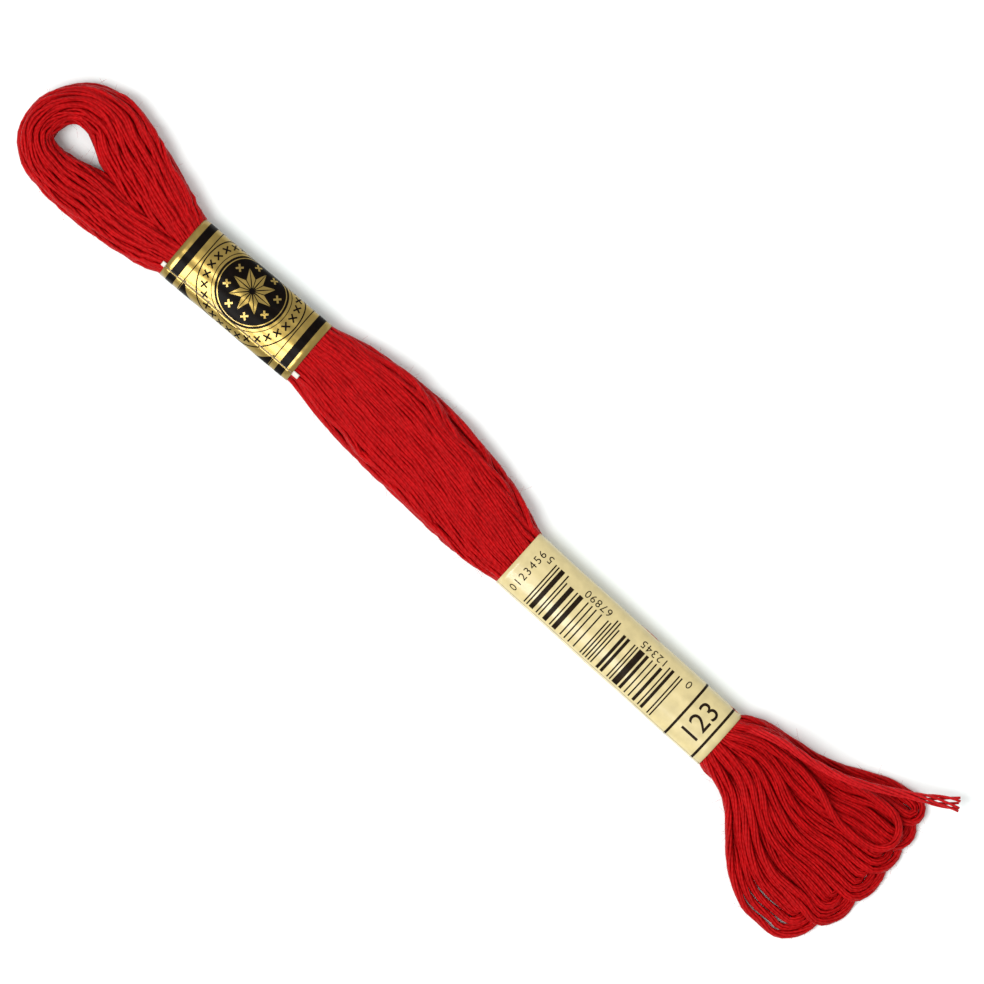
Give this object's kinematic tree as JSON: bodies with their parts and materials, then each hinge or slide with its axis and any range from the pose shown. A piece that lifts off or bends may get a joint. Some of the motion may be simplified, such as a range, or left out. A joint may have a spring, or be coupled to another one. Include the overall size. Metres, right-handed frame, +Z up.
{
  "type": "skein of embroidery floss",
  "caption": "Pull skein of red stranded embroidery floss, folded at an open eye, held by two paper bands and fanned into loops, with one cut end lying loose.",
  "frame": {"origin": "middle of the footprint of the hank and its bands, on the table they lie on", "axes": "+X along the skein from the eye to the fan of loops, +Z up from the table"},
  "size_m": [0.1702, 0.0343, 0.0063],
  "materials": {
    "floss": "mercerised cotton with a soft sheen",
    "gold_paper": "metallic gold print with black stripes",
    "cream_paper": "smooth coated paper, printed black"
  },
  "bodies": {
    "root": {"hank": "floss", "short_band": "gold_paper", "long_band": "cream_paper", "loose_end": "floss"}
  },
  "joints": []
}
